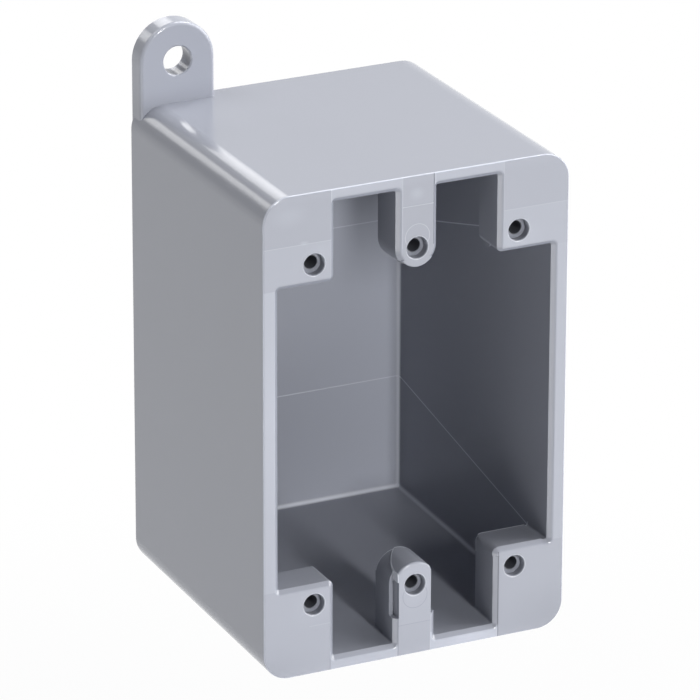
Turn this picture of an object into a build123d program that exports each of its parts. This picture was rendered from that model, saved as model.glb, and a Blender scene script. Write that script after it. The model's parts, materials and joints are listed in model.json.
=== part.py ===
from build123d import *
import math
import os

# Blank one-gang device box for wet places, moulded in one piece of grey PVC: an open, deep body with four
# cover screw pads in its corners, two device bosses in the middle of its ends and two wall lugs at its back.
# The origin is the centre of the back face. +X is right seen from the front, +Y is into the wall, +Z is up.
# Lengths are in millimetres and drafts in degrees.

# Outside of the body
FRONT_WIDTH = 76.95
FRONT_HEIGHT = 118.3
DEPTH = 74.5
SIDE_DRAFT = 0.29
END_DRAFT = 0.6
CORNER_RADIUS = 6.5
BACK_EDGE_RADIUS = 1.0
RIM_OUTER_RADIUS = 0.35

# Inside of the body: walls as they are at the rim, and the draft that the core leaves
SIDE_WALL = 3.85
END_WALL = 3.15
BACK_WALL = 2.5
CORE_SIDE_DRAFT = 2.95
CORE_END_DRAFT = 4.35
CORE_RADIUS = 1.2
NOTCH_RADIUS = 0.4
MOUTH_BEVEL = 1.0
MOUTH_SOFTENING = 0.6

# Screw holes in the front: two for the device, four for the cover
DEVICE_SPACING = 83.34
COVER_SPACING_X = 51.5
COVER_SPACING_Z = 83.6
COUNTERBORE_RADIUS = 2.6
COUNTERBORE_DEPTH = 2.1
PILOT_RADIUS = 1.6
PILOT_DEPTH = 8.8
HOLE_EDGE = 0.2

# Corner pads: how far each reaches inwards past its screw
PAD_DEPTH = 10.0
PAD_SIDE_MARGIN = 5.1
PAD_END_MARGIN = 4.9
PAD_CORNER_RADIUS = 1.35

# Device bosses: tongues with a round nose about the screw
BOSS_DEPTH = 10.0
UPPER_RADIUS = 5.1
LOWER_RADIUS = 5.3
NOSE_DROP = 2.6
NOSE_STEP = 0.45
NOSE_STEP_DEPTH = 3.5
NOSE_EDGE_RADIUS = 0.3

# Lower boss: as wide as the upper one where it leaves the wall, then stepped down on both sides
ROOT_LENGTH = 6.43
SHOULDER_WIDTH = 1.2
SHOULDER_DEPTH = 2.8
CROWN_EDGE_RADIUS = 0.5

# Skins that stand proud where two inserts of the mould met
SKIN = 0.25
SKIN_RIGHT = 3.75
SKIN_LEFT_BACK = 0.5
SKIN_LEFT_MIDDLE = 3.75
SKIN_LEFT_FRONT = 4.4
PAD_SKIN_LAP = 0.3
PAD_SKIN_SLOPE = 10.0

# Tag of flash left under the upper right pad, along its inner edge
FLASH_LENGTH = 3.4
FLASH_DROP = 0.75
FLASH_THICKNESS = 0.3
FLASH_INSET = 0.5
FLASH_FROM_BACK = 2.9

# Wall lugs: how far each stands in from the body's side and its hole out from the body's end
LUG_SIDE_INSET = 1.075
LUG_HOLE_RISE = 9.45
LUG_HOLE_RADIUS = 3.5
LUG_RADIUS = 9.4
LUG_THICKNESS = 5.0
LUG_EDGE_RADIUS = 0.8
LUG_HOLE_EDGE = 0.3

FRONT = Plane.XZ.offset(DEPTH)
SCREW_Z = DEVICE_SPACING / 2
ROOT_Z = FRONT_HEIGHT / 2 - END_WALL - ROOT_LENGTH
LUG_HOLE_X = FRONT_WIDTH / 2 - LUG_SIDE_INSET - LUG_RADIUS
LUG_HOLE_Z = FRONT_HEIGHT / 2 + LUG_HOLE_RISE
WALL_MIDDLE_X = (FRONT_WIDTH - SIDE_WALL) / 2
WALL_MIDDLE_Z = (FRONT_HEIGHT - END_WALL) / 2
NEAR = 0.01


def four_corners(shape):
    """The shape of the top right corner and its mirror images in the other three."""
    pair = [shape, mirror(shape, Plane.YZ)]
    return pair + [mirror(each, Plane.XY) for each in pair]


def tapered_profile(width, draft, length):
    """Outline from the front towards the wall, in first and second coordinate, narrowing by its draft."""
    near, far = width / 2, width / 2 - length * math.tan(math.radians(draft))
    back = length - DEPTH
    return make_face(Polyline((-near, -DEPTH), (near, -DEPTH), (far, back), (-far, back), close=True))


def drafted_block(width, height, side_draft, end_draft, length):
    """Block from the front plane towards the wall, narrowing by its drafts."""
    from_above = Plane.XY * tapered_profile(width, side_draft, length)
    from_the_side = Plane.ZY * tapered_profile(height, end_draft, length)
    return extrude(from_above, height, both=True) & extrude(from_the_side, width, both=True)


def depth_edges(shape):
    """Edges that run from the front towards the wall."""
    return shape.edges().filter_by(lambda edge: abs((edge @ 1).Y - (edge @ 0).Y) > NEAR)


def front_edges(shape):
    """Edges that lie in the front plane."""
    return shape.edges().filter_by_position(Axis.Y, -DEPTH - NEAR, -DEPTH + NEAR)


def bevelled(shape, chosen):
    """The shape with its chosen front edges bevelled as the mouth is, sharp inside and soft outside."""
    shape = chamfer(front_edges(shape).filter_by(chosen), MOUTH_BEVEL)
    return fillet(front_edges(shape).filter_by(chosen), MOUTH_SOFTENING)


def outer_body():
    block = drafted_block(FRONT_WIDTH, FRONT_HEIGHT, SIDE_DRAFT, END_DRAFT, DEPTH)
    block = fillet(depth_edges(block), CORNER_RADIUS)
    block = fillet(block.edges().group_by(Axis.Y)[-1], BACK_EDGE_RADIUS)
    return fillet(block.edges().group_by(Axis.Y)[0], RIM_OUTER_RADIUS)


def wall_lug():
    """Lug that rises from the top left corner of the back, with a round end and a through hole."""
    foot = FRONT_HEIGHT / 2 - CORNER_RADIUS
    blade = Pos(0, (foot + LUG_HOLE_Z) / 2) * Rectangle(2 * LUG_RADIUS, LUG_HOLE_Z - foot)
    outline = blade + Pos(0, LUG_HOLE_Z) * Circle(LUG_RADIUS) - Pos(0, LUG_HOLE_Z) * Circle(LUG_HOLE_RADIUS)
    lug = extrude(Plane.XZ * outline, LUG_THICKNESS)
    face_edges = lug.edges().group_by(Axis.Y)[0]
    rim = face_edges.filter_by(lambda edge: not edge.is_closed and edge.center().Z > foot + NEAR)
    lug = fillet(rim, LUG_EDGE_RADIUS)
    mouth = lug.edges().group_by(Axis.Y)[0].filter_by(lambda edge: edge.is_closed)
    lug = chamfer(mouth, LUG_HOLE_EDGE)
    return Pos(-LUG_HOLE_X, 0, 0) * lug


def core_room():
    """Room that the core leaves inside the body, before the pads and bosses."""
    width = FRONT_WIDTH - 2 * SIDE_WALL
    height = FRONT_HEIGHT - 2 * END_WALL
    room = drafted_block(width, height, CORE_SIDE_DRAFT, CORE_END_DRAFT, DEPTH - BACK_WALL)
    room = fillet(depth_edges(room), CORE_RADIUS)
    return fillet(room.edges().group_by(Axis.Y)[-1], CORE_RADIUS)


def corner_pad(proud=0.0):
    """Pad of the top right corner, out into the walls, with its inner edge rounded."""
    left = COVER_SPACING_X / 2 - PAD_SIDE_MARGIN - proud
    low = COVER_SPACING_Z / 2 - PAD_END_MARGIN - proud
    width, height = WALL_MIDDLE_X - left, WALL_MIDDLE_Z - low
    outline = Pos(left + width / 2, low + height / 2) * Rectangle(width, height)
    inner = outline.vertices().sort_by(lambda vertex: vertex.X + vertex.Y)[0]
    outline = fillet(inner, PAD_CORNER_RADIUS + proud)
    return extrude(FRONT * outline, -PAD_DEPTH)


def tongue(radius, depth):
    """Boss outline of the upper boss: straight from the end wall, then round about the screw."""
    blade = Pos(0, (SCREW_Z + WALL_MIDDLE_Z) / 2) * Rectangle(2 * radius, WALL_MIDDLE_Z - SCREW_Z)
    return extrude(FRONT * (blade + Pos(0, SCREW_Z) * Circle(radius)), -depth)


def level_box(low, high, depth=BOSS_DEPTH, width=4 * LOWER_RADIUS):
    """Box across a boss between two heights, from the front plane inwards."""
    return extrude(FRONT * (Pos(0, (low + high) / 2) * Rectangle(width, high - low)), -depth)


def upper_stub():
    """Upper boss down to where its nose begins."""
    return tongue(UPPER_RADIUS, BOSS_DEPTH) - level_box(0, SCREW_Z - NOSE_DROP)


def upper_nose():
    """Nose of the upper boss, whose front stands back by a small step from the round behind it."""
    below = level_box(0, SCREW_Z - NOSE_DROP)
    nose = tongue(UPPER_RADIUS, BOSS_DEPTH) & below
    proud = tongue(UPPER_RADIUS, NOSE_STEP_DEPTH) - tongue(UPPER_RADIUS - NOSE_STEP, NOSE_STEP_DEPTH)
    nose = nose - proud
    tip = front_edges(nose).filter_by(lambda edge: edge.geom_type == GeomType.CIRCLE)
    return fillet(tip, NOSE_EDGE_RADIUS)


def lower_stub():
    """Lower boss up to its shoulders."""
    full = tongue(LOWER_RADIUS, BOSS_DEPTH) & level_box(ROOT_Z, WALL_MIDDLE_Z)
    return mirror(full, Plane.XY)


def lower_nose():
    """Nose of the lower boss, with a shoulder stepped down on both sides of its screw."""
    nose = tongue(LOWER_RADIUS, BOSS_DEPTH) - level_box(ROOT_Z, WALL_MIDDLE_Z)
    crown = level_box(0, ROOT_Z, SHOULDER_DEPTH, 2 * (LOWER_RADIUS - SHOULDER_WIDTH))
    nose -= level_box(0, ROOT_Z, SHOULDER_DEPTH) - crown
    tip = front_edges(nose).filter_by(lambda edge: edge.geom_type == GeomType.CIRCLE)
    return mirror(fillet(tip, CROWN_EDGE_RADIUS), Plane.XY)


def crown_skin():
    """Skin over the lower boss's round top, which ends on its left along a curve."""
    skin = tongue(LOWER_RADIUS + SKIN, BOSS_DEPTH) & level_box(0, SCREW_Z - SHOULDER_WIDTH)
    skin = fillet(front_edges(skin).filter_by(GeomType.CIRCLE), CROWN_EDGE_RADIUS)
    back, middle, front = -DEPTH + BOSS_DEPTH, -DEPTH + BOSS_DEPTH / 2, -DEPTH
    left = ThreePointArc((-SKIN_LEFT_BACK, back), (-SKIN_LEFT_MIDDLE, middle), (-SKIN_LEFT_FRONT, front))
    corners = ((-SKIN_LEFT_FRONT, front), (SKIN_RIGHT, front), (SKIN_RIGHT, back), (-SKIN_LEFT_BACK, back))
    plan = extrude(make_face(left + Polyline(*corners)), FRONT_HEIGHT / 2)
    return mirror(skin & plan, Plane.XY)


def pad_skin():
    """Skin over the top of the lower right pad, which ends at its left along a slanted line."""
    pad = corner_pad(SKIN)
    low = pad.bounding_box().min.Z

    def facing_in(edge):
        return edge.center().X + edge.center().Z < WALL_MIDDLE_X + low

    pad = bevelled(pad, facing_in)
    lap = low + PAD_SKIN_LAP
    rise = PAD_DEPTH * math.tan(math.radians(PAD_SKIN_SLOPE))
    right = FRONT_WIDTH / 2 - SIDE_WALL - PAD_CORNER_RADIUS
    front, back = -DEPTH, -DEPTH + PAD_DEPTH
    side = Polyline((front, 0), (front, lap + rise), (back, lap), (back, 0), close=True)
    wedge = extrude(Plane.YZ * make_face(side), right)
    return mirror(pad & wedge, Plane.XY)


def pad_flash():
    """Thin round tag of flash that hangs from the inner edge of the upper right pad."""
    middle = -DEPTH + PAD_DEPTH - FLASH_FROM_BACK
    low = COVER_SPACING_Z / 2 - PAD_END_MARGIN
    left = COVER_SPACING_X / 2 - PAD_SIDE_MARGIN
    root = PAD_CORNER_RADIUS / 2
    tag = Pos(middle, low + root) * Ellipse(FLASH_LENGTH / 2, FLASH_DROP + root)
    return Pos(left + FLASH_INSET, 0, 0) * extrude(Plane.YZ * tag, FLASH_THICKNESS)


def chamber():
    """All that the core takes away: its room less the pads and the straight parts of the bosses."""
    cut = core_room() - four_corners(corner_pad()) - upper_stub() - lower_stub()
    draft = math.tan(math.radians(max(CORE_SIDE_DRAFT, CORE_END_DRAFT)))
    wall_x = FRONT_WIDTH / 2 - SIDE_WALL - PAD_DEPTH * draft
    wall_z = FRONT_HEIGHT / 2 - END_WALL - PAD_DEPTH * draft

    def beside_wall(edge):
        middle = edge.center()
        return middle.Y < -DEPTH + PAD_DEPTH and (abs(middle.X) > wall_x or abs(middle.Z) > wall_z)

    return fillet(depth_edges(cut).filter_by(beside_wall), NOTCH_RADIUS)


def screw_places():
    """Centres of the device screws, then of the cover screws."""
    device = [(0, side * SCREW_Z) for side in (1, -1)]
    cover = [(x * COVER_SPACING_X / 2, z * COVER_SPACING_Z / 2) for x in (-1, 1) for z in (1, -1)]
    return device + cover


def screw_hole():
    """Stepped blind hole for a thread-forming screw, at the middle of the front."""
    counterbore = extrude(FRONT * Circle(COUNTERBORE_RADIUS), -COUNTERBORE_DEPTH)
    return counterbore + extrude(FRONT * Circle(PILOT_RADIUS), -PILOT_DEPTH)


def moulded_box():
    lug = wall_lug()
    body = outer_body() + [lug, Rot(0, 180, 0) * lug] - chamber()
    stub_ends = (SCREW_Z - NOSE_DROP, -ROOT_Z)

    def in_mouth(edge):
        middle = edge.center()
        inside = abs(middle.X) < WALL_MIDDLE_X and abs(middle.Z) < WALL_MIDDLE_Z
        return inside and all(abs(middle.Z - end) > NEAR for end in stub_ends)

    body = bevelled(body, in_mouth)
    body += [upper_nose(), lower_nose(), crown_skin(), pad_skin(), pad_flash()]
    hole = screw_hole()
    body -= [Pos(x, 0, z) * hole for x, z in screw_places()]
    lips = front_edges(body).filter_by(lambda edge: edge.is_closed and edge.radius == COUNTERBORE_RADIUS)
    return chamfer(lips, HOLE_EDGE)


os.makedirs("parts", exist_ok=True)
export_step(moulded_box(), "parts/box_body.step")
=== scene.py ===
import json
import math

import bpy
from bpy.props import FloatProperty, FloatVectorProperty, PointerProperty
from mathutils import Euler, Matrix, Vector


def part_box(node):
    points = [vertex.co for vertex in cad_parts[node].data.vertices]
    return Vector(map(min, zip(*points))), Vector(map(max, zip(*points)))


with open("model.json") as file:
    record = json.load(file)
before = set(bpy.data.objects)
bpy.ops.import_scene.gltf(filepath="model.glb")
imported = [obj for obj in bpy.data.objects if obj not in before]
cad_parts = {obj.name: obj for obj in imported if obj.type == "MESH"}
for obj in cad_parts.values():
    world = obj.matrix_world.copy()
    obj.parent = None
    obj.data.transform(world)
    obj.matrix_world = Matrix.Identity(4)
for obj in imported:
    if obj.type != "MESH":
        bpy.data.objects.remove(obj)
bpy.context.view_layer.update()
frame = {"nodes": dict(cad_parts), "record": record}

bl_info = {
    "name": "Junction Box Finish",
    "version": (1, 0, 0),
    "blender": (4, 5, 0),
    "location": "3D View > Sidebar > Junction Box",
    "description": "Moulded PVC finish of a deep junction box, with its studio",
    "category": "Material",
}

MM = 0.001
BODY = "box_body"
MOUNTS = {mount["name"]: mount for mount in frame["record"]["mounts"]}

# Places on the body, in metres, from the frame and from the moulding's own sizes
FRONT_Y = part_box(BODY)[0].y
DEVICE_Z = MOUNTS["device_screws"]["dims"]["spacing_y_mm"] * MM / 2
COVER_X = MOUNTS["cover_screws"]["dims"]["spacing_x_mm"] * MM / 2
COVER_Z = MOUNTS["cover_screws"]["dims"]["spacing_y_mm"] * MM / 2
LIP_RADIUS = 2.8 * MM
PAD_DEPTH = 10.0 * MM

# Witness lines in the front face, left where the mould's inserts met. Upright ones: place from the middle,
# lower and upper end in millimetres. Level ones: place, left and right end. Arches: place of the centre over
# or under the middle, radius. The last number says how clearly a line shows: over nought it stands up and is
# painted lighter, a painted highlight where it would catch the light; under nought it is sunk and painted
# darker.
UPRIGHT_LINES = (
    (-21.5, 36.9, 59.2, 0.4),
    (21.9, 36.9, 59.2, 0.1),
    (-3.75, 42.0, 59.2, 0.15),
    (4.1, 42.0, 59.2, -1.0),
    (4.5, 42.0, 59.2, 0.3),
    (-21.7, -59.2, -36.9, -0.5),
    (21.6, -59.2, -37.5, -0.9),
    (-4.3, -59.2, -41.0, -0.6),
    (4.0, -59.2, -50.0, 0.25),
)
LEVEL_LINES = (
    (47.1, -38.3, -21.5, 0.18),
    (51.9, -3.75, 4.1, 0.4),
    (47.1, 21.9, 38.3, 0.12),
    (-47.1, -27.0, -21.7, 0.12),
    (-51.4, -4.3, 4.0, -0.2),
)
ARCHES = (
    (44.4, 3.05, 0.3),
    (-44.4, 3.1, -0.25),
)

# Tones of the front face, lighter or darker in places. Plates have sharp ends: left, right, lower and upper
# end
# in millimetres. Patches fade out: place across and up, half width and half height. The last number is how
# much lighter the face is there.
PLATES = (
    (-38.5, 38.5, -59.2, 59.2, 0.11),
    (-38.5, -34.0, -36.9, 36.9, 0.07),
    (-21.7, -4.3, -59.2, -54.5, 0.15),
    (4.0, 21.6, -59.2, -54.5, 0.24),
    (-38.5, -21.5, 47.1, 59.2, -0.14),
    (-38.5, -21.5, 36.9, 47.1, -0.06),
    (-3.75, 4.1, 51.9, 59.2, -0.14),
    (-3.75, 4.1, 36.0, 51.9, -0.16),
    (21.9, 38.5, 47.1, 59.2, -0.11),
    (21.9, 38.5, 36.9, 47.1, -0.04),
    (-38.5, -21.7, -59.2, -36.9, -0.01),
    (21.6, 38.5, -59.2, -36.9, -0.08),
    (-4.3, 4.0, -59.2, -51.4, -0.03),
)
PATCHES = (
    (-32.0, 54.5, 6.0, 4.0, 0.08),
    (-0.2, 54.8, 2.6, 2.2, 0.12),
    (-28.3, 47.4, 1.6, 0.7, 0.15),
    (-24.0, 44.0, 4.0, 4.0, 0.07),
    (26.0, 39.5, 9.0, 5.0, 0.06),
    (-25.0, -42.0, 9.0, 7.0, 0.05),
    (0.0, -43.0, 7.0, 7.0, 0.06),
    (36.0, -57.0, 16.0, 14.0, -0.08),
    (14.0, -57.5, 9.0, 4.0, 0.14),
    (-36.5, 5.0, 5.0, 30.0, 0.08),
    (-36.0, -58.0, 14.0, 9.0, -0.07),
)

# Tones elsewhere. The lugs are lighter: the tone grows from their foot to full, and the box's ends have a
# little of it. The outer edge of the front is painted lighter as a painted highlight: it starts at a half
# width, a half height and, in the round corners, a sum of both, and lies between two depths. The blind pilots
# of the screws are painted dark, painted shade in the holes.
LUG_FOOT, LUG_FULL = 56.0 * MM, 64.0 * MM
LUG_TONE = 0.18
EDGE_X, EDGE_Z, EDGE_SUM = 37.0 * MM, 57.8 * MM, 92.0 * MM
EDGE_START, EDGE_END = 0.03 * MM, 0.4 * MM
EDGE_HIGHLIGHT = 0.4
PILOT_RADIUS, PILOT_START = 1.75 * MM, 2.0 * MM
PILOT_PAINTED_SHADE = -0.45
# Inside, the walls that the core was drawn along are painted darker, as painted shade. The back wall carries
# painted light: its tone at the middle, growing lighter to the right by the rise in half a width.
INSIDE_PAINTED_SHADE = -0.16
BACK_PAINTED_LIGHT, BACK_PAINTED_LIGHT_RISE = 0.04, 0.27

# Bounds of the inside: half width and half height that hold all of it, how far behind the front it starts,
# and the distances from the box's back between which the back wall's inner face lies
INSIDE_X, INSIDE_Z = 35.5 * MM, 56.5 * MM
INSIDE_START = 1.0 * MM
INSIDE_BACK, BACK_WALL = 2.0 * MM, 2.7 * MM

# Split lines where the two halves of the core met inside: height at the pads' backs, and fall of the upper
# one and rise of the lower one into the box
SPLIT_Z = 36.7 * MM
UPPER_SPLIT_SLOPE = 0.278
LOWER_SPLIT_SLOPE = 0.247

# Thin skins on the lower boss and the lower right pad: the heights and the left and right end that they lie
# between, the curved edge on the boss by the middle and radius of its circle, and the slanted edge beside the
# pad by its height at the box's back, were it that long, its rise and its left and right end
SKIN_LOW, SKIN_HIGH = -41.0 * MM, -36.0 * MM
SKIN_LEFT, SKIN_RIGHT = -5.4 * MM, 34.6 * MM
CURVE_X, CURVE_Y, CURVE_RADIUS = 7.98 * MM, -73.57 * MM, 12.41 * MM
SLANT_Z, SLANT_RISE = -25.58 * MM, 0.1763
SLANT_LEFT, SLANT_RIGHT = 21.0 * MM, 22.6 * MM

# The core's half width and half height at the front, how much each shrinks in a metre of depth, its length,
# and how far the middle of its rounded corners lies from each face
CORE_X, CORE_SHRINK_X = 34.62 * MM, 0.0515
CORE_Z, CORE_SHRINK_Z = 56.0 * MM, 0.0761
CORE_LENGTH = 72.0 * MM
CORE_CORNER = 0.35 * MM

# How clearly the other lines show: the lips of the screw holes, the split lines on the walls and on the back,
# the curved and back edge and the slanted edge of the skins, and the painted highlights along the inside
# corners between the back and the sides, between the back and the ends, and between the sides and the ends
LIP_SHOWS = 0.6
SPLIT_SHOWS, BACK_SPLIT_SHOWS = 1.0, 0.5
SKIN_HIGHLIGHT_SHOWS, SLANT_SHOWS = 0.9, -0.8
CORNER_HIGHLIGHTS_SHOW = (1.0, 0.9, 0.4)

# How many times as wide as a witness line the split lines, the skins' curved and back edge, and the painted
# highlights along the inside corners are
SPLIT_WIDTH = 1.5
CURVE_WIDTH, BACK_EDGE_WIDTH = 1.5, 2.0
CORNER_HIGHLIGHT_WIDTH = 5.0

# Refractive index of rigid PVC
PVC_IOR = 1.53


def linear(code):
    """Linear colour of an sRGB hex code."""
    parts = [int(code[i:i + 2], 16) / 255 for i in (1, 3, 5)]
    return tuple(c / 12.92 if c <= 0.04045 else ((c + 0.055) / 1.055) ** 2.4 for c in parts)


class PvcSettings(bpy.types.PropertyGroup):
    """Colour and surface of the moulded plastic."""

    colour: FloatVectorProperty(
        name="Colour", description="Colour of the grey plastic", subtype="COLOR",
        default=linear("#9699A3"), min=0.0, max=1.0)
    # Raised lines are painted in this lighter colour: a painted highlight on top of their small real rise
    line_highlight_colour: FloatVectorProperty(
        name="Line colour", description="Colour of a raised witness line", subtype="COLOR",
        default=linear("#D3D6DE"), min=0.0, max=1.0)
    groove_colour: FloatVectorProperty(
        name="Groove colour", description="Colour of a sunk witness line", subtype="COLOR",
        default=linear("#5E616A"), min=0.0, max=1.0)
    roughness: FloatProperty(
        name="Roughness", description="Roughness of the polished outside", default=0.15, min=0.0, max=1.0)
    inside_roughness: FloatProperty(
        name="Inside roughness", description="Roughness where the duller core shaped the inside",
        default=0.38, min=0.0, max=1.0)
    # A real witness line is under a tenth of a millimetre wide, and is drawn as wide as it needs to show
    line_width: FloatProperty(
        name="Line width", description="Width of a witness line at its foot", default=0.3 * MM, unit="LENGTH")
    line_height: FloatProperty(
        name="Line height", description="Height of a witness line", default=0.04 * MM, unit="LENGTH")
    wave_size: FloatProperty(
        name="Wave size", description="Length of the soft sink waves", default=16.0 * MM, unit="LENGTH")
    wave_height: FloatProperty(
        name="Wave height", description="Height of the soft sink waves", default=0.05 * MM, unit="LENGTH")


class StudioSettings(bpy.types.PropertyGroup):
    """Floor, lamps and camera."""

    paper: FloatVectorProperty(
        name="Paper", description="Colour of the floor and the room", subtype="COLOR",
        default=linear("#F4F5F7"), min=0.0, max=1.0)
    floor_drop: FloatProperty(
        name="Floor drop", description="Height of the box's middle over the floor",
        default=0.55, unit="LENGTH")
    floor_white: FloatProperty(
        name="Floor white", description="Share of plain white in what is seen of the floor by the box",
        default=0.7, min=0.0, max=1.0)
    floor_reach: FloatProperty(
        name="Floor reach", description="Distance from the box at which the floor has faded to plain white",
        default=1.2, min=0.0, unit="LENGTH")
    lens: FloatProperty(
        name="Lens", description="Focal length in millimetres of a 36 mm sensor", default=316.32)


# Camera: place in metres, turn in degrees as tilt up from straight down, roll and heading, width of its
# sensor in millimetres and how far it sees in metres
CAMERA_PLACE = (-0.575729, -1.237519, 0.540276)
CAMERA_TURN = (68.0278, -0.1456, -25.6079)
SENSOR_WIDTH = 36.0
CAMERA_REACH = 30.0

# Width and depth of the floor in metres
FLOOR_SIZE = 12.0

# Lamps: name, heading and height of its place in degrees, distance, width and height in metres, and power
# in watts
LAMPS = (
    ("key_strip", 4.0, 16.5, 1.6, 0.14, 0.56, 15.7),
    ("right_card", 75.0, 20.0, 1.6, 0.8, 1.0, 15.6),
    ("right_front_card", 45.0, 16.0, 1.6, 0.6, 1.0, 4.0),
    ("low_right_card", 27.0, -20.0, 1.3, 0.5, 0.3, 0.7),
    ("right_roof", 95.0, 58.0, 1.6, 1.0, 0.9, 23.0),
    ("left_roof", -108.0, 56.0, 1.6, 0.9, 0.9, 9.6),
    ("left_card", -76.0, 0.0, 1.6, 0.4, 0.8, 1.2),
    ("low_left_card", -64.0, -20.0, 1.2, 0.4, 0.26, 1.0),
    ("streak_strip", 170.0, 30.5, 1.6, 0.6, 0.24, 1.5),
    ("edge_strip", 203.0, 21.0, 1.6, 0.26, 0.42, 1.05),
)


def add_node(tree, kind, settings=None, inputs=None):
    """Adds a node, sets its options, and sets or links its inputs."""
    node = tree.nodes.new(kind)
    for name, value in (settings or {}).items():
        setattr(node, name, value)
    for name, value in (inputs or {}).items():
        if isinstance(value, bpy.types.NodeSocket):
            tree.links.new(value, node.inputs[name])
        else:
            node.inputs[name].default_value = value
    return node


def combine(tree, operation, *values):
    """Output of one sum, product or test of sockets and numbers."""
    return add_node(tree, "ShaderNodeMath", {"operation": operation}, dict(enumerate(values))).outputs[0]


def ridge(tree, offset, half_width):
    """1 along the line where the offset is nought, falling to 0 at half the width."""
    distance = combine(tree, "ABSOLUTE", offset)
    hump = add_node(tree, "ShaderNodeMapRange", {"interpolation_type": "SMOOTHSTEP"}, {
        "Value": distance, "From Min": 0.0, "From Max": half_width, "To Min": 1.0, "To Max": 0.0})
    return hump.outputs["Result"]


def within(tree, line, value, low, high):
    """The line where the value lies between two limits, and 0 elsewhere."""
    inside = combine(tree, "COMPARE", value, (low + high) / 2, (high - low) / 2)
    return combine(tree, "MULTIPLY", line, inside)


def total(tree, parts):
    """Sum of pairs of a socket and its weight."""
    result = 0.0
    for socket, weight in parts:
        result = combine(tree, "MULTIPLY_ADD", socket, weight, result)
    return result


def reach(tree, across, up):
    """Distance from the point where both offsets are nought."""
    square = combine(tree, "MULTIPLY_ADD", up, up, combine(tree, "MULTIPLY", across, across))
    return combine(tree, "SQRT", square)


def straight_lines(tree, across, along, lines, half):
    """Ridges of straight witness lines, each with how clearly it shows."""
    parts = []
    for place, low, high, strength in lines:
        line = ridge(tree, combine(tree, "SUBTRACT", across, place * MM), half)
        parts.append((within(tree, line, along, low * MM, high * MM), strength))
    return parts


def arch_lines(tree, x, z, half):
    """Half rings over the upper device screw and under the lower one."""
    parts = []
    for centre, radius, strength in ARCHES:
        side = math.copysign(1.0, centre)
        over = combine(tree, "MULTIPLY_ADD", z, side, -abs(centre) * MM)
        ring = ridge(tree, combine(tree, "SUBTRACT", reach(tree, x, over), radius * MM), half)
        parts.append((within(tree, ring, over, DEVICE_Z - abs(centre) * MM, (radius + 1.0) * MM), strength))
    return parts


def from_screw(tree, x, z):
    """Distance from the axis of the nearest screw."""
    side, end = combine(tree, "ABSOLUTE", x), combine(tree, "ABSOLUTE", z)
    cover = reach(tree, combine(tree, "SUBTRACT", side, COVER_X), combine(tree, "SUBTRACT", end, COVER_Z))
    device = reach(tree, x, combine(tree, "SUBTRACT", end, DEVICE_Z))
    return combine(tree, "MINIMUM", cover, device)


def screw_lip_highlights(tree, x, z, half):
    """Fine raised lips round the mouths of the six screw holes, painted lighter as a ring of painted
    highlight.
    """
    return ridge(tree, combine(tree, "SUBTRACT", from_screw(tree, x, z), LIP_RADIUS), half)


def other_tones(tree, x, y, z):
    """How much lighter the lugs are, with the painted highlight on the outer edge of the front and the
    painted shade in the pilots.
    """
    side, end = combine(tree, "ABSOLUTE", x), combine(tree, "ABSOLUTE", z)
    lug = add_node(tree, "ShaderNodeMapRange", {"interpolation_type": "SMOOTHSTEP"}, {
        "Value": end, "From Min": LUG_FOOT, "From Max": LUG_FULL, "To Min": 0.0, "To Max": 1.0})
    # The outer edge of the front is painted lighter: a painted highlight on its rounded edge
    by_edge = combine(tree, "MAXIMUM", combine(tree, "GREATER_THAN", side, EDGE_X),
                      combine(tree, "GREATER_THAN", end, EDGE_Z))
    round_corner = combine(tree, "GREATER_THAN", combine(tree, "ADD", side, end), EDGE_SUM)
    edge = within(tree, combine(tree, "MAXIMUM", by_edge, round_corner), y,
                  FRONT_Y + EDGE_START, FRONT_Y + EDGE_END)
    # The blind pilots are painted dark: painted shade in the holes
    painted_pilot_shade = combine(tree, "LESS_THAN", from_screw(tree, x, z), PILOT_RADIUS)
    painted_pilot_shade = within(tree, painted_pilot_shade, y, FRONT_Y + PILOT_START, FRONT_Y + PAD_DEPTH)
    return total(tree, [(lug.outputs["Result"], LUG_TONE), (edge, EDGE_HIGHLIGHT), (painted_pilot_shade, PILOT_PAINTED_SHADE)])


def face_tones(tree, x, z):
    """How much lighter or darker each place of the front face is."""
    parts = []
    for left, right, low, high, tone in PLATES:
        plate = within(tree, 1.0, x, left * MM, right * MM)
        parts.append((within(tree, plate, z, low * MM, high * MM), tone))
    for across, up, half_width, half_height, tone in PATCHES:
        far = reach(tree, combine(tree, "DIVIDE", combine(tree, "SUBTRACT", x, across * MM), half_width * MM),
                    combine(tree, "DIVIDE", combine(tree, "SUBTRACT", z, up * MM), half_height * MM))
        parts.append((ridge(tree, far, 1.0), tone))
    return total(tree, parts)


def split_lines(tree, x, y, z, half):
    """Lines inside where the two halves of the core met, sloping from the pads to the back, painted lighter
    as painted highlights.
    """
    behind = combine(tree, "SUBTRACT", y, FRONT_Y + PAD_DEPTH)
    lines = []
    for side, slope in ((1, UPPER_SPLIT_SLOPE), (-1, LOWER_SPLIT_SLOPE)):
        end = combine(tree, "MULTIPLY", z, side)
        drop = combine(tree, "MULTIPLY_ADD", behind, slope, end)
        line = ridge(tree, combine(tree, "SUBTRACT", drop, SPLIT_Z), SPLIT_WIDTH * half)
        line = within(tree, line, x, -INSIDE_X, INSIDE_X)
        lines.append((within(tree, line, y, FRONT_Y + PAD_DEPTH, -BACK_WALL), SPLIT_SHOWS))
        lines.append((within(tree, line, y, -BACK_WALL, -INSIDE_BACK), BACK_SPLIT_SHOWS))
    return lines


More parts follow.
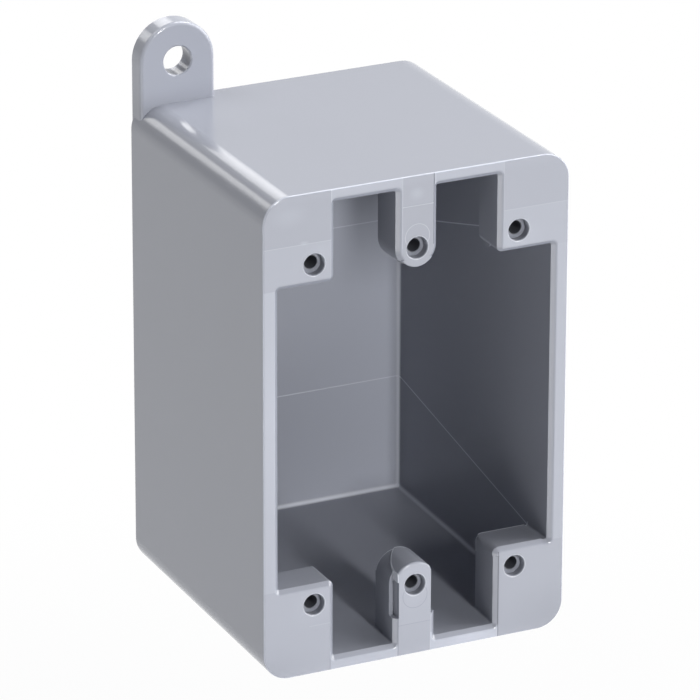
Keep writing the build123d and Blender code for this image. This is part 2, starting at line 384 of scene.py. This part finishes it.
def skin_lines(tree, x, y, z, half):
    """Edges of the two thin skins, where plastic crept between the mould's inserts; the curved and back edge
    are painted lighter as painted highlights.
    """
    back = FRONT_Y + PAD_DEPTH
    from_middle = reach(tree, combine(tree, "SUBTRACT", x, CURVE_X), combine(tree, "SUBTRACT", y, CURVE_Y))
    curve = ridge(tree, combine(tree, "SUBTRACT", from_middle, CURVE_RADIUS), CURVE_WIDTH * half)
    curve = within(tree, curve, x, SKIN_LEFT, 0.0)
    edge = ridge(tree, combine(tree, "SUBTRACT", y, back - half), BACK_EDGE_WIDTH * half)
    edge = within(tree, edge, x, SKIN_LEFT, SKIN_RIGHT)
    skin_edge_highlights = within(tree, combine(tree, "MAXIMUM", curve, edge), z, SKIN_LOW, SKIN_HIGH)
    skin_edge_highlights = within(tree, skin_edge_highlights, y, FRONT_Y, back + half)
    level = combine(tree, "MULTIPLY_ADD", y, -SLANT_RISE, z)
    slant = ridge(tree, combine(tree, "SUBTRACT", level, SLANT_Z), half)
    slant = within(tree, slant, x, SLANT_LEFT, SLANT_RIGHT)
    slant = within(tree, slant, y, FRONT_Y, back)
    return [(skin_edge_highlights, SKIN_HIGHLIGHT_SHOWS), (slant, SLANT_SHOWS)]


def painted_corner_highlights(tree, x, y, z, half):
    """Painted highlights along the inside corners, lighter lines where the rounded corners would catch the
    light.
    """
    depth = combine(tree, "SUBTRACT", y, FRONT_Y)
    gaps = [combine(tree, "SUBTRACT", CORE_LENGTH - CORE_CORNER, depth)]
    for value, size, shrink in ((x, CORE_X, CORE_SHRINK_X), (z, CORE_Z, CORE_SHRINK_Z)):
        wall = combine(tree, "MULTIPLY_ADD", depth, -shrink, size - CORE_CORNER)
        gaps.append(combine(tree, "SUBTRACT", wall, combine(tree, "ABSOLUTE", value)))
    back, side, end = gaps
    corners = zip(((back, side), (back, end), (side, end)), CORNER_HIGHLIGHTS_SHOW)
    return [(ridge(tree, reach(tree, *pair), CORNER_HIGHLIGHT_WIDTH * half), strength) for pair, strength in corners]


def all_lines(tree, x, y, z, half, in_front, inside):
    """Every line of the body and the painted highlights along the inside corners: over nought where it stands
    up and is painted lighter, under nought where it is sunk.
    """
    face = total(tree, straight_lines(tree, x, z, UPRIGHT_LINES, half)
                 + straight_lines(tree, z, x, LEVEL_LINES, half)
                 + arch_lines(tree, x, z, half) + [(screw_lip_highlights(tree, x, z, half), LIP_SHOWS)])
    face = combine(tree, "MULTIPLY", face, in_front)
    # Painted highlights along the inside corners
    corners = total(tree, painted_corner_highlights(tree, x, y, z, half))
    corners = combine(tree, "MULTIPLY", corners, inside)
    corners = within(tree, corners, y, FRONT_Y + PAD_DEPTH, -INSIDE_BACK)
    return total(tree, [(face, 1.0), (corners, 1.0)]
                 + split_lines(tree, x, y, z, half) + skin_lines(tree, x, y, z, half))


def all_tones(tree, x, y, z, in_front, inside):
    """How much lighter or darker each place of the body is than its plain colour, with painted shade inside
    and painted light on the back wall.
    """
    face = combine(tree, "MULTIPLY", face_tones(tree, x, z), in_front)
    # The inside walls are painted darker: painted shade
    painted_inside_shade = within(tree, inside, y, FRONT_Y + INSIDE_START, -BACK_WALL)
    # The back wall is painted lighter towards the right: painted light
    back = within(tree, inside, y, -BACK_WALL, -INSIDE_BACK)
    painted_back_light_rise = combine(tree, "MULTIPLY_ADD", x, BACK_PAINTED_LIGHT_RISE / INSIDE_X, BACK_PAINTED_LIGHT)
    return total(tree, [
        (face, 1.0), (other_tones(tree, x, y, z), 1.0), (painted_inside_shade, INSIDE_PAINTED_SHADE), (back, painted_back_light_rise)])


def moulded_pvc(settings):
    """Rigid grey PVC, injection moulded in a polished mould: an even pigment under a smooth skin.

    The outside has a soft gloss, and the duller core left the inside less glossy. Broad shallow sink waves
    bend the reflections a little. Faint tones lighten or darken the front face in places and lighten the
    lugs;
    painted shade darkens the inside walls and the blind pilots, painted light grows across the back wall, and
    a painted highlight runs along the outer edge of the front. Thin lines stand where the mould's inserts and
    the halves of its core met, with fine lips round the screw holes; the raised ones are painted lighter as
    painted highlights, and painted highlights run along the inside corners.
    """
    material = bpy.data.materials.new("moulded_grey_pvc")
    material.use_nodes = True
    tree = material.node_tree
    tree.nodes.clear()
    place = add_node(tree, "ShaderNodeTexCoord").outputs["Object"]
    split = add_node(tree, "ShaderNodeSeparateXYZ", None, {"Vector": place})
    x, y, z = (split.outputs[axis] for axis in "XYZ")
    half = settings.line_width / 2
    in_front = within(tree, 1.0, y, FRONT_Y - half, FRONT_Y + half)
    inside = within(tree, within(tree, 1.0, x, -INSIDE_X, INSIDE_X), z, -INSIDE_Z, INSIDE_Z)
    lines = all_lines(tree, x, y, z, half, in_front, inside)
    tones = all_tones(tree, x, y, z, in_front, inside)

    toned = add_node(tree, "ShaderNodeHueSaturation", None, {
        "Color": (*settings.colour, 1.0), "Value": combine(tree, "ADD", tones, 1.0)})
    # Raised lines take the lighter line colour, a painted highlight
    raised = add_node(tree, "ShaderNodeMix", {"data_type": "RGBA"}, {
        "Factor": combine(tree, "MAXIMUM", lines, 0.0), "A": toned.outputs["Color"],
        "B": (*settings.line_highlight_colour, 1.0)})
    sunk = combine(tree, "MAXIMUM", combine(tree, "MULTIPLY", lines, -1.0), 0.0)
    colour = add_node(tree, "ShaderNodeMix", {"data_type": "RGBA"}, {
        "Factor": sunk, "A": raised.outputs["Result"], "B": (*settings.groove_colour, 1.0)})

    waves = add_node(tree, "ShaderNodeTexNoise", None, {
        "Vector": place, "Scale": 1.0 / settings.wave_size, "Detail": 1.0, "Roughness": 0.4})
    wave_bump = add_node(tree, "ShaderNodeBump", None, {
        "Height": waves.outputs["Fac"], "Distance": settings.wave_height})
    line_bump = add_node(tree, "ShaderNodeBump", None, {
        "Height": lines, "Distance": settings.line_height, "Normal": wave_bump.outputs["Normal"]})
    by_core = within(tree, inside, y, FRONT_Y + INSIDE_START, -INSIDE_BACK)
    roughness = add_node(tree, "ShaderNodeMapRange", None, {
        "Value": by_core, "To Min": settings.roughness, "To Max": settings.inside_roughness})
    skin = add_node(tree, "ShaderNodeBsdfPrincipled", None, {
        "Base Color": colour.outputs["Result"], "Roughness": roughness.outputs["Result"],
        "IOR": PVC_IOR, "Normal": line_bump.outputs["Normal"]})
    add_node(tree, "ShaderNodeOutputMaterial", None, {"Surface": skin.outputs["BSDF"]})
    return material


class JUNCTIONBOX_OT_finish_body(bpy.types.Operator):
    """Give the moulded body its plastic finish"""

    bl_idname = "junctionbox.finish_body"
    bl_label = "Finish body"

    def execute(self, context):
        node = frame["nodes"].get(BODY)
        if node is None:
            raise RuntimeError("the frame holds no box body")
        material = moulded_pvc(context.scene.junction_pvc)
        node.data.materials.clear()
        node.data.materials.append(material)
        return {"FINISHED"}


def seen_directly(tree):
    """1 for the rays of the camera, of reflections and of what is seen through glass, and 0 for lighting."""
    path = add_node(tree, "ShaderNodeLightPath")
    seen = combine(tree, "MAXIMUM", path.outputs["Is Camera Ray"], path.outputs["Is Glossy Ray"])
    return combine(tree, "MAXIMUM", seen, path.outputs["Is Transmission Ray"])


def add_floor(settings):
    """Wide sheet of pale matt paper under the box, which keeps the box's shadow and fades to plain white."""
    bpy.ops.mesh.primitive_plane_add(size=FLOOR_SIZE, location=(0.0, 0.0, -settings.floor_drop))
    floor = bpy.context.object
    floor.name = "paper_floor"
    material = bpy.data.materials.new("pale_paper")
    material.use_nodes = True
    tree = material.node_tree
    tree.nodes.clear()
    paper = add_node(tree, "ShaderNodeBsdfDiffuse", None, {"Color": (*settings.paper, 1.0)})
    white = add_node(tree, "ShaderNodeEmission", None, {"Strength": 1.0})
    place = add_node(tree, "ShaderNodeTexCoord").outputs["Object"]
    split = add_node(tree, "ShaderNodeSeparateXYZ", None, {"Vector": place})
    fade = add_node(tree, "ShaderNodeMapRange", {"interpolation_type": "SMOOTHSTEP"}, {
        "Value": reach(tree, split.outputs["X"], split.outputs["Y"]), "From Min": settings.floor_reach / 2,
        "From Max": settings.floor_reach, "To Min": settings.floor_white, "To Max": 1.0})
    share = combine(tree, "MULTIPLY", seen_directly(tree), fade.outputs["Result"])
    mix = add_node(tree, "ShaderNodeMixShader", None, {
        "Fac": share, 1: paper.outputs["BSDF"], 2: white.outputs["Emission"]})
    add_node(tree, "ShaderNodeOutputMaterial", None, {"Surface": mix.outputs["Shader"]})
    floor.data.materials.append(material)


def light_room():
    """Dark room that is seen as white paper behind the box, so that only the lamps light it."""
    world = bpy.data.worlds.new("white_room")
    bpy.context.scene.world = world
    world.use_nodes = True
    tree = world.node_tree
    tree.nodes.clear()
    white = add_node(tree, "ShaderNodeBackground", None, {"Strength": seen_directly(tree)})
    add_node(tree, "ShaderNodeOutputWorld", None, {"Surface": white.outputs["Background"]})


def add_lamp(name, heading, height, distance, width, length, power):
    """Soft rectangular lamp that looks at the box's middle from a heading and a height."""
    turn, rise = math.radians(heading), math.radians(height)
    way = Vector((math.sin(turn) * math.cos(rise), -math.cos(turn) * math.cos(rise), math.sin(rise)))
    lamp = bpy.data.lights.new(name, "AREA")
    lamp.shape = "RECTANGLE"
    lamp.size, lamp.size_y, lamp.energy = width, length, power
    holder = bpy.data.objects.new(name, lamp)
    holder.location = way * distance
    holder.rotation_euler = way.to_track_quat("Z", "Y").to_euler()
    holder.visible_camera = False
    bpy.context.scene.collection.objects.link(holder)


def add_camera(settings):
    """Camera at the photograph's place."""
    camera = bpy.data.cameras.new("camera")
    camera.lens = settings.lens
    camera.sensor_width = SENSOR_WIDTH
    camera.clip_end = CAMERA_REACH
    holder = bpy.data.objects.new("camera", camera)
    holder.location = CAMERA_PLACE
    holder.rotation_euler = Euler([math.radians(angle) for angle in CAMERA_TURN], "XYZ")
    bpy.context.scene.collection.objects.link(holder)
    bpy.context.scene.camera = holder


class JUNCTIONBOX_OT_stage(bpy.types.Operator):
    """Set the floor, the lamps and the camera round the box"""

    bl_idname = "junctionbox.stage"
    bl_label = "Set the stage"

    def execute(self, context):
        settings = context.scene.junction_studio
        add_floor(settings)
        light_room()
        for lamp in LAMPS:
            add_lamp(*lamp)
        add_camera(settings)
        context.scene.view_settings.view_transform = "Standard"
        return {"FINISHED"}


class JUNCTIONBOX_PT_sidebar(bpy.types.Panel):
    """Sizes, colours and steps of the junction box"""

    bl_idname = "JUNCTIONBOX_PT_sidebar"
    bl_label = "Junction Box"
    bl_space_type = "VIEW_3D"
    bl_region_type = "UI"
    bl_category = "Junction Box"

    def draw(self, context):
        for group in (context.scene.junction_pvc, context.scene.junction_studio):
            box = self.layout.box()
            for name in group.__annotations__:
                box.prop(group, name)
        for operator in OPERATORS:
            self.layout.operator(operator.bl_idname)


OPERATORS = (JUNCTIONBOX_OT_finish_body, JUNCTIONBOX_OT_stage)
CLASSES = (PvcSettings, StudioSettings, *OPERATORS, JUNCTIONBOX_PT_sidebar)


def register():
    for each in CLASSES:
        bpy.utils.register_class(each)
    bpy.types.Scene.junction_pvc = PointerProperty(type=PvcSettings)
    bpy.types.Scene.junction_studio = PointerProperty(type=StudioSettings)


def unregister():
    del bpy.types.Scene.junction_studio
    del bpy.types.Scene.junction_pvc
    for each in reversed(CLASSES):
        bpy.utils.unregister_class(each)


def main():
    register()
    bpy.ops.junctionbox.finish_body()
    bpy.ops.junctionbox.stage()


if __name__ == "__main__":
    main()
